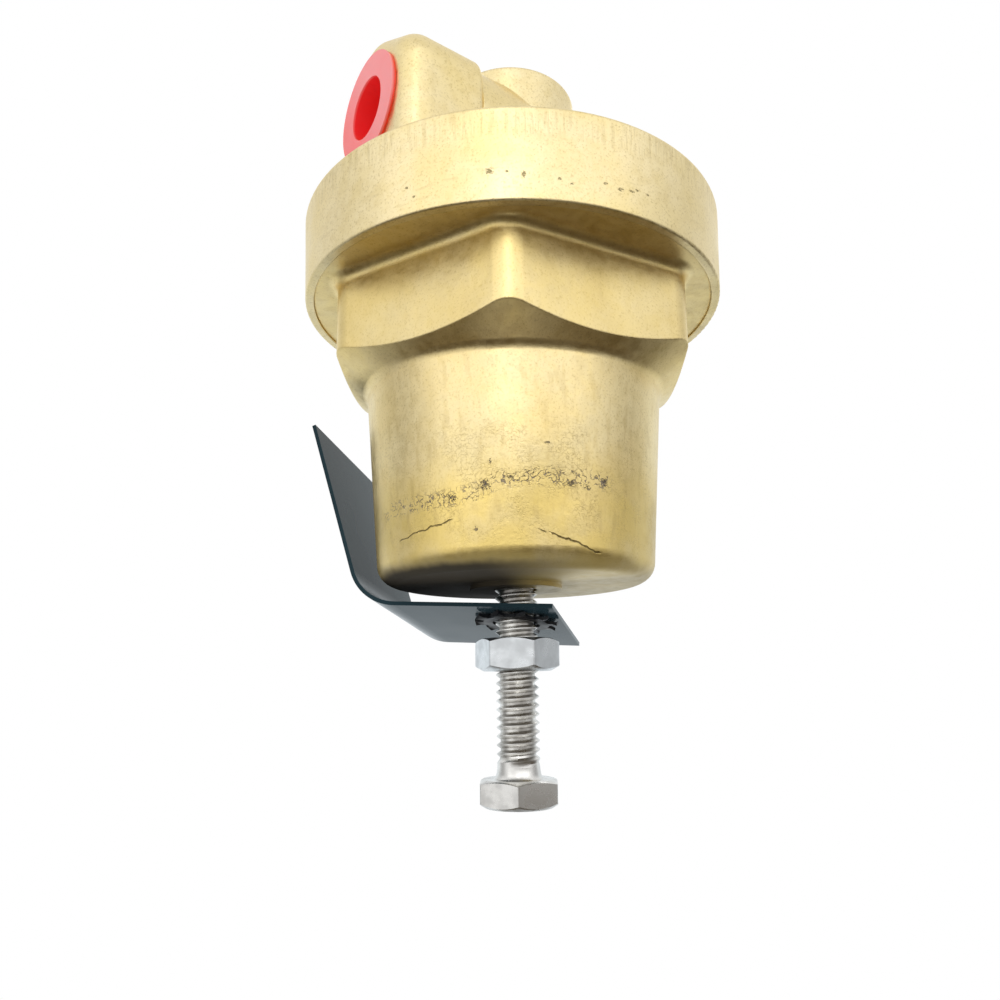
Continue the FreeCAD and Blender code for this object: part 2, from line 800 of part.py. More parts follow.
def make_hub_plug():
    body = make_turned("hub_plug", [
        ("0", "plug_pocket_top"),
        ("plug_pocket_radius", "plug_pocket_top"),
        ("plug_pocket_radius", "plug_low"),
        ("plug_bore_radius - running_gap", "plug_low"),
        ("plug_bore_radius - running_gap", "hub_top - o_ring_setback - o_ring_radius - seat_gap"),
        ("plug_bore_radius - 2 * o_ring_radius - 2 * running_gap",
         "hub_top - o_ring_setback - o_ring_radius - seat_gap"),
        ("plug_bore_radius - 2 * o_ring_radius - 2 * running_gap",
         "hub_top - o_ring_setback + o_ring_radius + seat_gap"),
        ("plug_bore_radius - running_gap", "hub_top - o_ring_setback + o_ring_radius + seat_gap"),
        ("plug_bore_radius - running_gap", "hub_top"),
        ("0", "hub_top"),
    ])
    sketch = sketch_on(body, "slot_profile", "XY_Plane", shift="hub_top")
    outline(sketch, [
        ("-plug_bore_radius", "-slot_width / 2"),
        ("plug_bore_radius", "-slot_width / 2"),
        ("plug_bore_radius", "slot_width / 2"),
        ("-plug_bore_radius", "slot_width / 2"),
    ])
    pocketed(body, "slot", sketch, "slot_depth")
    return body


def make_plug_o_ring():
    ring = doc.addObject("Part::Torus", "plug_o_ring")
    ring.Label = "plug_o_ring"
    bind(ring, "Radius1", "plug_bore_radius - o_ring_radius - running_gap")
    bind(ring, "Radius2", "o_ring_radius")
    bind(ring, "Placement.Base.x", "-port_reach")
    bind(ring, "Placement.Base.z", "hub_top - o_ring_setback - port_level")
    return ring


def make_inlet_plug():
    body = new_body("inlet_plug")
    turned(body, "turning", [
        ("-port_reach - cap_flange_thick", "cap_mouth_radius"),
        ("-port_reach - cap_flange_thick", "cap_flange_radius"),
        ("-port_reach", "cap_flange_radius"),
        ("-port_reach", "cap_barrel_radius"),
        ("cap_depth - port_reach", "cap_tip_radius"),
        ("cap_depth - port_reach", "0"),
        ("cap_depth - cap_floor - port_reach", "0"),
        ("cap_depth - cap_floor - port_reach", "cap_mouth_radius + cap_tip_radius - cap_barrel_radius"),
    ], along="H_Axis", side="port_level")
    return body


def make_inlet_screen():
    body = new_body("inlet_screen")
    floor = "port_bore_depth - port_reach"
    turned(body, "cup", [
        (floor, "screen_cup_radius - screen_wall"),
        (floor, "port_bore_radius - running_gap"),
        (f"{floor} - screen_rim_thick", "port_bore_radius - running_gap"),
        (f"{floor} - screen_rim_thick", "screen_cup_radius"),
        (f"{floor} - screen_cup_length", "screen_cup_radius"),
        (f"{floor} - screen_cup_length", "0"),
        (f"{floor} - screen_cup_length + screen_wall", "0"),
        (f"{floor} - screen_cup_length + screen_wall", "screen_cup_radius - screen_wall"),
    ], along="H_Axis", side="port_level")
    sketch = sketch_on(body, "hole_profile", "YZ_Plane", shift=f"{floor} - screen_cup_length")
    circle(sketch, "screen_hole_radius", "screen_cup_radius / 2", "port_level")
    hole = pocketed(body, "hole", sketch, "screen_wall", True)
    axis = sketch_on(body, "port_axis", "YZ_Plane", side="port_level")
    holes = body.newObject("PartDesign::PolarPattern", "holes")
    holes.Originals = [hole]
    holes.Axis = (axis, ["N_Axis"])
    holes.Angle = 360
    bind(holes, "Occurrences", "screen_holes")
    body.Tip = holes
    doc.recompute()
    return body


def make_spring(name, mean, wire, turns, low, high):
    """A round wire wound between two seats; low and high are the seats' heights."""
    gap = f"({wire} + touch_gap)"
    helix = doc.addObject("Part::Helix", f"{name}_helix")
    bind(helix, "Radius", mean)
    bind(helix, "Height", f"{high} - ({low}) - 2 * {gap}")
    bind(helix, "Pitch", f"({high} - ({low}) - 2 * {gap}) / {turns}")
    section = doc.addObject("Part::Circle", f"{name}_section")
    bind(section, "Radius", wire)
    bind(section, "Placement.Base.x", mean)
    section.Placement = Placement(section.Placement.Base, Rotation(Vector(1, 0, 0), 90))
    doc.recompute()
    spring = doc.addObject("Part::Sweep", name)
    spring.Label = name
    spring.Sections = [section]
    spring.Spine = (helix, ["Edge1"])
    spring.Solid = True
    spring.Frenet = True
    bind(spring, "Placement.Base.x", "-port_reach")
    bind(spring, "Placement.Base.z", f"{low} + {gap} - port_level")
    doc.recompute()
    return spring


pieces = [
    make_valve_body(),
    make_bonnet(),
    make_adjusting_screw(),
    make_lock_nut(),
    make_tag_plate(),
    make_tooth_washer(),
    make_inlet_plug(),
    make_inlet_screen(),
    make_spring_button(),
    make_spring("range_spring", "spring_mean_radius", "spring_wire_radius", "spring_turns",
                "button_top", "plate_low"),
    make_pressure_plate(),
    make_diaphragm(),
    make_diaphragm_washer(),
    make_diaphragm_stud(),
    make_diaphragm_nut(),
    make_slip_ring(),
    make_seat_ring(),
    make_poppet(),
    make_poppet_seal(),
    make_spring("poppet_spring", "poppet_spring_radius", "poppet_wire_radius",
                "poppet_spring_turns", "poppet_top", "plug_pocket_top"),
    make_hub_plug(),
    make_plug_o_ring(),
]
doc.recompute()

for item in doc.Objects:
    if "Invalid" in item.State or "Error" in item.State:
        raise RuntimeError(f"{item.Label} failed")
for piece in pieces:
    if piece.Shape.isNull() or not piece.Shape.isValid():
        raise RuntimeError(f"{piece.Label} has no valid shape")

os.makedirs("parts", exist_ok=True)
for piece in pieces:
    piece.Shape.exportStep(f"parts/{piece.Label}.step")
    print(f"{piece.Label}: {len(piece.Shape.Solids)} solid, {piece.Shape.Volume:.1f} mm3")
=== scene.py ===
"""Differential pressure regulating valve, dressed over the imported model.

Lengths are written in millimetres and turned into metres where they are used. Heights are
measured from the bonnet's end face, along the valve's own axis, as in the part's source.
"""
from math import atan2, cos, floor, pi, radians, sin, sqrt, tan

import bmesh
import bpy
from mathutils import Matrix, Vector


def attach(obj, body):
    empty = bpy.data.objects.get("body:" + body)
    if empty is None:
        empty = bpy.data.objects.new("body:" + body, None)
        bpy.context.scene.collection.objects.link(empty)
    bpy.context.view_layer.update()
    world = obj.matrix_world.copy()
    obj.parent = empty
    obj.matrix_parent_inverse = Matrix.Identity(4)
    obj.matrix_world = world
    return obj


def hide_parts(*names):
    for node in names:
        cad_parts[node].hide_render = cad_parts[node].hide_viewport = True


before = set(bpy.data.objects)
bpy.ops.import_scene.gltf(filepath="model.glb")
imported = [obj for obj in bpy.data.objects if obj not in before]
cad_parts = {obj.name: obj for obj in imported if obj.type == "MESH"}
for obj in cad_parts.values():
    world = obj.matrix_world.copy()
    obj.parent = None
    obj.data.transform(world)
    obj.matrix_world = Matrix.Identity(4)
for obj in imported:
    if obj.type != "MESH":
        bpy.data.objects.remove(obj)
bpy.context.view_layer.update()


# The camera stands low in front of the valve and looks up at it, with the plugged
# port turned towards its left. Lens, place and tilt were worked out from the photograph.
camera_data = bpy.data.cameras.new("camera")
camera_data.lens = 28.83
camera_data.sensor_width = 36.0
camera_data.shift_y = 0.0377
camera_data.clip_start = 0.005
camera = bpy.data.objects.new("camera", camera_data)
bpy.context.scene.collection.objects.link(camera)
camera.matrix_world = (
    Matrix.Translation((-0.09876, -0.09722, -0.08553))
    @ Matrix.Rotation(radians(-35.7), 4, "Z")
    @ Matrix.Rotation(radians(90.0 + 10.646), 4, "X")
    @ Matrix.Rotation(radians(-0.666), 4, "Z")
)
bpy.context.scene.camera = camera
bpy.context.scene.view_settings.view_transform = "Standard"


# The studio: two broad soft lamps beside the camera, a small one over it and one behind,
# in a white room that is dimmer at its sides and dark below. The valve is held by its
# ports, well above a pale floor. None of it is part of the valve.
def soft_lamp(name, azimuth, elevation, distance, size, power):
    """A square lamp aimed at the valve; azimuth 0 is on the camera's side."""
    lamp_data = bpy.data.lights.new(name, "AREA")
    lamp_data.shape = "RECTANGLE"
    lamp_data.size, lamp_data.size_y = size
    lamp_data.energy = power
    lamp = bpy.data.objects.new(name, lamp_data)
    bpy.context.scene.collection.objects.link(lamp)
    turn = radians(azimuth - 35.7)
    rise = radians(elevation)
    away = Vector((sin(turn) * cos(rise), -cos(turn) * cos(rise), sin(rise)))
    target = Vector((-0.026, 0.0, -0.035))
    lamp.location = target + away * distance
    lamp.rotation_euler = away.to_track_quat("Z", "Y").to_euler()


soft_lamp("left_lamp", -31.0, 22.0, 0.60, (0.68, 0.40), 0.35)
soft_lamp("right_lamp", 29.0, 22.0, 0.60, (0.64, 0.40), 0.35)
soft_lamp("front_lamp", -4.0, 25.0, 0.60, (0.15, 0.28), 0.18)
soft_lamp("back_lamp", 165.0, 42.0, 0.70, (0.40, 0.30), 0.25)

world = bpy.data.worlds.new("studio")
bpy.context.scene.world = world
world.use_nodes = True
room = world.node_tree
room.nodes.clear()
direction = room.nodes.new("ShaderNodeTexCoord")
towards_back = room.nodes.new("ShaderNodeVectorMath")
towards_back.operation = "DOT_PRODUCT"
towards_back.inputs[1].default_value = (0.584, 0.812, 0.0)
half = room.nodes.new("ShaderNodeMath")
half.operation = "MULTIPLY_ADD"
half.inputs[1].default_value = 0.5
half.inputs[2].default_value = 0.5
walls = room.nodes.new("ShaderNodeValToRGB")
walls.color_ramp.elements[0].position = 0.0
walls.color_ramp.elements[0].color = (0.98, 0.98, 0.98, 1.0)
walls.color_ramp.elements[1].position = 1.0
walls.color_ramp.elements[1].color = (0.90, 0.96, 1.0, 1.0)
for place, shade in ((0.10, 1.0), (0.27, 0.95), (0.48, 0.46), (0.62, 0.40)):
    walls.color_ramp.elements.new(place).color = (shade, shade, shade, 1.0)
walls.color_ramp.elements.new(0.78).color = (0.91, 0.95, 0.97, 1.0)
upwards = room.nodes.new("ShaderNodeSeparateXYZ")
over = room.nodes.new("ShaderNodeMapRange")
over.interpolation_type = "SMOOTHSTEP"
over.inputs["From Min"].default_value = 0.18
over.inputs["From Max"].default_value = 0.66
ceiling = room.nodes.new("ShaderNodeMixRGB")
ceiling.inputs[2].default_value = (0.88, 0.88, 0.88, 1.0)
slope = room.nodes.new("ShaderNodeVectorMath")
slope.operation = "DOT_PRODUCT"
slope.inputs[1].default_value = (0.049, 0.325, 0.944)
below = room.nodes.new("ShaderNodeMapRange")
below.interpolation_type = "SMOOTHSTEP"
below.inputs["From Min"].default_value = -0.24
below.inputs["From Max"].default_value = -0.43
ground = room.nodes.new("ShaderNodeMixRGB")
ground.inputs[2].default_value = (0.056, 0.037, 0.015, 1.0)
paths = room.nodes.new("ShaderNodeLightPath")
shiny = room.nodes.new("ShaderNodeMath")
shiny.operation = "MAXIMUM"
seen = room.nodes.new("ShaderNodeMixRGB")
seen.inputs[1].default_value = (0.84, 0.84, 0.84, 1.0)
white = room.nodes.new("ShaderNodeMixRGB")
white.inputs[2].default_value = (1.0, 1.0, 1.0, 1.0)
background = room.nodes.new("ShaderNodeBackground")
world_output = room.nodes.new("ShaderNodeOutputWorld")
for start, finish in (
        (direction.outputs["Generated"], towards_back.inputs[0]),
        (direction.outputs["Generated"], slope.inputs[0]),
        (towards_back.outputs["Value"], half.inputs[0]),
        (half.outputs[0], walls.inputs[0]),
        (slope.outputs["Value"], below.inputs["Value"]),
        (below.outputs[0], ground.inputs[0]),
        (direction.outputs["Generated"], upwards.inputs[0]),
        (upwards.outputs["Z"], over.inputs["Value"]),
        (over.outputs[0], ceiling.inputs[0]),
        (walls.outputs[0], ceiling.inputs[1]),
        (ceiling.outputs[0], ground.inputs[1]),
        (paths.outputs["Is Glossy Ray"], shiny.inputs[0]),
        (paths.outputs["Is Transmission Ray"], shiny.inputs[1]),
        (shiny.outputs[0], seen.inputs[0]),
        (ground.outputs[0], seen.inputs[2]),
        (paths.outputs["Is Camera Ray"], white.inputs[0]),
        (seen.outputs[0], white.inputs[1]),
        (white.outputs[0], background.inputs["Color"]),
        (background.outputs[0], world_output.inputs["Surface"])):
    room.links.new(start, finish)

floor_radius, floor_height, floor_corners = 0.26, -1.6, 96
floor_mesh = bpy.data.meshes.new("floor")
floor_mesh.from_pydata([(-0.026 + floor_radius * cos(2 * pi * k / floor_corners),
                         floor_radius * sin(2 * pi * k / floor_corners), floor_height)
                        for k in range(floor_corners)], [], [tuple(range(floor_corners))])
studio_floor = bpy.data.objects.new("floor", floor_mesh)
bpy.context.scene.collection.objects.link(studio_floor)
floor_paint = bpy.data.materials.new("pale_floor")
floor_paint.use_nodes = True
floor_shader = floor_paint.node_tree.nodes["Principled BSDF"]
floor_shader.inputs["Base Color"].default_value = (0.80, 0.80, 0.80, 1.0)
floor_shader.inputs["Roughness"].default_value = 0.8
floor_mesh.materials.append(floor_paint)


# Valve body: a brass forging with the two ports in line, a round flange turned on its
# edge and a hub faced off on top. Its skin is shot-cleaned, satin and slightly uneven.
def node(tree, kind, **settings):
    made = tree.nodes.new(kind)
    for key, setting in settings.items():
        setattr(made, key, setting)
    return made


def sum_of(tree, kind, first, second=None, third=None):
    """A math node whose inputs are sockets or plain numbers."""
    made = node(tree, "ShaderNodeMath", operation=kind)
    for place, value in enumerate((first, second, third)):
        if isinstance(value, bpy.types.NodeSocket):
            tree.links.new(value, made.inputs[place])
        elif value is not None:
            made.inputs[place].default_value = value
    return made.outputs[0]


def along(tree, point, line):
    """How far a point lies along a line through the row's origin."""
    made = node(tree, "ShaderNodeVectorMath", operation="DOT_PRODUCT")
    made.inputs[1].default_value = line
    tree.links.new(point, made.inputs[0])
    return made.outputs["Value"]


def in_millimetres(tree):
    """The point's place in the row, in millimetres."""
    place = node(tree, "ShaderNodeTexCoord")
    scaled = node(tree, "ShaderNodeVectorMath", operation="SCALE")
    scaled.inputs["Scale"].default_value = 1000.0
    tree.links.new(place.outputs["Object"], scaled.inputs[0])
    return scaled.outputs[0]


def round_the_axis(tree, point):
    """Angle round the valve's axis from its front, height over the end face, and reach."""
    right = sum_of(tree, "ADD", along(tree, point, (0.8121, -0.5835, 0.0)), 21.115)
    front = sum_of(tree, "ADD", along(tree, point, (-0.5835, -0.8121, 0.0)), -15.171)
    height = sum_of(tree, "ADD", along(tree, point, (0.0, 0.0, 1.0)), 70.2)
    square = sum_of(tree, "MULTIPLY", right, right)
    square = sum_of(tree, "MULTIPLY_ADD", front, front, square)
    return sum_of(tree, "ARCTAN2", right, front), height, sum_of(tree, "SQRT", square)


def unrolled(tree, angle, height, radius, lengthwise=1.0):
    """A round wall laid flat, so that marks can run along it or round it."""
    made = node(tree, "ShaderNodeCombineXYZ")
    tree.links.new(sum_of(tree, "MULTIPLY", angle, radius), made.inputs[0])
    tree.links.new(sum_of(tree, "MULTIPLY", height, lengthwise), made.inputs[1])
    return made.outputs[0]


def grain(tree, point, per_mm, detail=3.0, rough=0.5, warp=0.0):
    """Noise of so many waves to the millimetre."""
    made = node(tree, "ShaderNodeTexNoise")
    made.inputs["Scale"].default_value = per_mm
    made.inputs["Detail"].default_value = detail
    made.inputs["Roughness"].default_value = rough
    made.inputs["Distortion"].default_value = warp
    tree.links.new(point, made.inputs["Vector"])
    return made.outputs["Fac"]


def between(tree, value, low, high, bottom=0.0, top=1.0):
    """Spreads value from low..high over bottom..top, and stops there."""
    made = node(tree, "ShaderNodeMapRange", interpolation_type="SMOOTHSTEP")
    tree.links.new(value, made.inputs["Value"])
    for key, number in (("From Min", low), ("From Max", high), ("To Min", bottom),
                        ("To Max", top)):
        made.inputs[key].default_value = number
    return made.outputs[0]


def band(tree, value, low, high, soft):
    """1 between low and high, with soft edges."""
    return sum_of(tree, "MULTIPLY", between(tree, value, low - soft, low + soft),
                  between(tree, value, high + soft, high - soft))


def mixed(tree, share, first, second):
    """One colour over another; a colour is a socket or three numbers."""
    made = node(tree, "ShaderNodeMixRGB")
    for place, value in enumerate((share, first, second)):
        if isinstance(value, bpy.types.NodeSocket):
            tree.links.new(value, made.inputs[place])
        elif place:
            made.inputs[place].default_value = (*value, 1.0)
        else:
            made.inputs[place].default_value = value
    return made.outputs[0]


def bumped(tree, height, depth, under=None):
    """A bump of so many millimetres on top of another."""
    made = node(tree, "ShaderNodeBump")
    made.inputs["Distance"].default_value = depth * 0.001
    tree.links.new(height, made.inputs["Height"])
    if under:
        tree.links.new(under, made.inputs["Normal"])
    return made.outputs["Normal"]


def dents(tree, angle, height, radius, places, ragged):
    """Single dents on a round wall, each at an angle and a height, so wide and so tall."""
    total = None
    for turn, level, wide, tall in places:
        across = sum_of(tree, "MULTIPLY_ADD", angle, radius / wide, -turn * radius / wide)
        up = sum_of(tree, "MULTIPLY_ADD", height, 1.0 / tall, -level / tall)
        off = sum_of(tree, "MULTIPLY_ADD", up, up, sum_of(tree, "MULTIPLY", across, across))
        one = between(tree, sum_of(tree, "ADD", off, ragged), 1.0, 0.35)
        total = sum_of(tree, "MAXIMUM", total, one) if total else one
    return total


def finish_of(name, metallic, roughness=0.5):
    """A new material, with its node tree and its shader."""
    material = bpy.data.materials.new(name)
    material.use_nodes = True
    shader = material.node_tree.nodes["Principled BSDF"]
    shader.inputs["Metallic"].default_value = metallic
    shader.inputs["Roughness"].default_value = roughness
    return material, material.node_tree, shader


def forged_brass(name, pale, golden, marks):
    """Satin brass in two shades; marks adds what is particular to one piece."""
    material, tree, shader = finish_of(name, 1.0)
    point = in_millimetres(tree)
    patches = grain(tree, point, 0.11, 3.0)
    waves = grain(tree, point, 0.09, 1.0)
    mottle = grain(tree, point, 0.75, 4.0, 0.6)
    speckle = grain(tree, point, 3.2, 3.0, 0.6)
    colour = mixed(tree, between(tree, patches, 0.32, 0.70), pale, golden)
    colour = mixed(tree, between(tree, mottle, 0.34, 0.60, 0.24, 0.0), colour,
                   (0.72, 0.54, 0.19))
    colour = mixed(tree, between(tree, speckle, 0.28, 0.50, 0.42, 0.0), colour,
                   (0.50, 0.37, 0.14))
    rough = between(tree, mottle, 0.30, 0.70, 0.33, 0.43)
    soft_edge = node(tree, "ShaderNodeBevel", samples=4)
    soft_edge.inputs["Radius"].default_value = 0.00035
    normal = bumped(tree, waves, 0.40, soft_edge.outputs[0])
    normal = bumped(tree, mottle, 0.030, normal)
    normal = bumped(tree, speckle, 0.009, normal)
    colour, rough, normal = marks(tree, point, colour, rough, normal)
    tree.links.new(colour, shader.inputs["Base Color"])
    tree.links.new(rough, shader.inputs["Roughness"])
    tree.links.new(normal, shader.inputs["Normal"])
    return material


def paint(name, material):
    """Gives a piece of the frame its finish."""
    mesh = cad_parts[name].data
    mesh.materials.clear()
    mesh.materials.append(material)


def body_marks(tree, point, colour, rough, normal):
    """Upright tool marks under the flange's upper edge, fine scratches and a few pits."""
    angle, height, reach = round_the_axis(tree, point)
    wall = between(tree, reach, 31.6, 32.2)
    streaks = grain(tree, unrolled(tree, angle, height, 33.0, 0.10), 1.5, 3.0)
    scored = sum_of(tree, "MULTIPLY", band(tree, height, 52.4, 55.9, 0.6), wall)
    scored = sum_of(tree, "MULTIPLY", scored, between(tree, streaks, 0.47, 0.62))
    scratches = grain(tree, unrolled(tree, angle, height, 9.0, 1.0), 1.1, 2.0)
    fine = sum_of(tree, "MULTIPLY", band(tree, height, 44.4, 48.3, 0.5), wall)
    fine = sum_of(tree, "MULTIPLY", fine, between(tree, scratches, 0.62, 0.68, 0.0, 0.5))
    ragged = sum_of(tree, "MULTIPLY_ADD", grain(tree, point, 4.2, 3.0, 0.8), 8.0, -3.8)
    holes = sum_of(tree, "MULTIPLY", wall, dents(tree, angle, height, 33.0, (
        (-0.096, 47.4, 0.50, 0.42), (-0.030, 47.3, 0.22, 0.18), (0.033, 46.9, 0.32, 0.45),
        (0.171, 46.5, 0.22, 0.20), (0.218, 46.0, 0.26, 0.16), (0.358, 46.9, 0.30, 0.22),
        (0.424, 46.6, 0.48, 0.24), (0.475, 46.8, 0.40, 0.20), (0.503, 47.2, 0.34, 0.20),
        (0.555, 47.1, 0.30, 0.16), (-0.433, 47.2, 0.24, 0.20), (-0.40, 45.7, 0.20, 0.18)),
        ragged))
    colour = mixed(tree, sum_of(tree, "MULTIPLY", scored, 0.20), colour, (0.46, 0.35, 0.15))
    colour = mixed(tree, sum_of(tree, "MULTIPLY", fine, 0.35), colour, (0.50, 0.38, 0.16))
    colour = mixed(tree, sum_of(tree, "MULTIPLY", holes, 0.75), colour, (0.22, 0.17, 0.07))
    normal = bumped(tree, sum_of(tree, "MULTIPLY", scored, -1.0), 0.015, normal)
    normal = bumped(tree, sum_of(tree, "MULTIPLY", holes, -1.0), 0.05, normal)
    return colour, rough, normal


paint("valve_body", forged_brass("body_brass", (0.95, 0.81, 0.49), (0.90, 0.74, 0.37),
                                 body_marks))


# Pipe thread in the two ports: a quarter inch tapered thread, 18 turns to the inch, cut
# in the brass. At the plugged side only its shallow first ridges stand clear of the cap.
def welded(name, parts, body, material, place=None, smooth=35.0):
    """One piece from lists of points and faces in millimetres, joined where they meet."""
    made = bmesh.new()
    for points, faces in parts:
        corners = [made.verts.new(Vector(point) * 0.001) for point in points]
        for face in faces:
            ring = [corners[k] for n, k in enumerate(face) if k not in face[:n]]
            if len(ring) > 2:
                made.faces.new(ring)
    bmesh.ops.remove_doubles(made, verts=made.verts, dist=2e-6)
    bmesh.ops.dissolve_degenerate(made, edges=made.edges, dist=1e-6)
    bmesh.ops.recalc_face_normals(made, faces=made.faces)
    bmesh.ops.transform(made, matrix=place or Matrix.Translation((-0.026, 0.0, -0.0702)),
                        verts=made.verts)
    mesh = bpy.data.meshes.new(name)
    made.to_mesh(mesh)
    made.free()
    mesh.shade_smooth()
    mesh.set_sharp_from_angle(angle=radians(smooth))
    mesh.materials.append(material)
    piece = bpy.data.objects.new(name, mesh)
    bpy.context.scene.collection.objects.link(piece)
    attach(piece, body)
    return piece


def round_columns(count):
    return [(cos(2 * pi * k / count), sin(2 * pi * k / count)) for k in range(count)]


def skin(rings):
    """Faces between closed rings of equal count, given from one end to the other."""
    count = len(rings[0])
    points = [point for ring in rings for point in ring]
    faces = [(r * count + k, r * count + (k + 1) % count,
              (r + 1) * count + (k + 1) % count, (r + 1) * count + k)
             for r in range(len(rings) - 1) for k in range(count)]
    return points, faces


def ring_at(columns, radius, height):
    return [(radius * x, radius * y, height) for x, y in columns]


def thread_share(turns):
    """How deep a 60 degree thread lies at a share of its pitch: 0 on the crest, 1 in the root."""
    share = turns - floor(turns)
    if share < 0.125 or share > 0.9999:
        return 0.0
    if share < 0.4375:
        return (share - 0.125) / 0.3125
    if share < 0.6875:
        return 1.0
    return (1.0 - share) / 0.3125


def wound_thread(columns, pitch, low, high, reach):
    """A right-hand thread; reach gives the radius for a height and a depth share."""
    count = len(columns)
    turns = [(atan2(y, x) / (2 * pi)) % 1.0 for x, y in columns]
    first = floor(low / pitch) - 2
    rows = 4 * (floor(high / pitch) + 2 - first)
    points = []
    for row in range(rows):
        step = first + row // 4 + (0.0, 0.125, 0.4375, 0.6875)[row % 4]
        for (x, y), turn in zip(columns, turns):
            height = min(max(pitch * (step + turn), low), high)
            radius = reach(height, thread_share(height / pitch - turn))
            points.append((radius * x, radius * y, height))
    faces = []
    for row in range(rows - 1):
        for k in range(count):
            lift = 4 if k == count - 1 else 0
            if row + 1 + lift < rows:
                faces.append((row * count + k, (row + lift) * count + (k + 1) % count,
                              (row + 1 + lift) * count + (k + 1) % count,
                              (row + 1) * count + k))
    return points, faces


def port_thread(name, turn, crest, run):
    """A threaded lining of a port, wavy inside and round outside; depth runs inwards."""
    pitch, mouth, bottom, sleeve, count = 1.411, 0.25, 12.6, 5.70, 72
    columns = round_columns(count)

    def wall(depth, share):
        return min(crest - run * depth + 0.62 * share, 5.66)

    inside = wound_thread(columns, pitch, mouth, bottom, wall)
    outer = [ring_at(columns, sleeve, mouth), ring_at(columns, sleeve, bottom)]
    ends = []
    for ring, depth in zip(outer, (mouth, bottom)):
        inner = []
        for k, (x, y) in enumerate(columns):
            radius = wall(depth, thread_share(depth / pitch - k / count))
            inner.append((x * radius, y * radius, depth))
        ends.append(skin([ring, inner]))
    place = Matrix.Rotation(turn, 4, "Z") @ Matrix.Rotation(radians(-90.0), 4, "Y")
    centre = Matrix.Translation((-0.026, 0.0, 0.0))
    reach = Matrix.Translation((0.026 * cos(turn), 0.026 * sin(turn), 0.0))
    return welded(name, [inside, skin(outer), *ends], "housing",
                  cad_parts["valve_body"].data.materials[0], centre @ reach @ place)


port_thread("outlet_thread", 0.0, 5.32, 0.031)
port_thread("inlet_thread", pi, 5.61, 0.039)


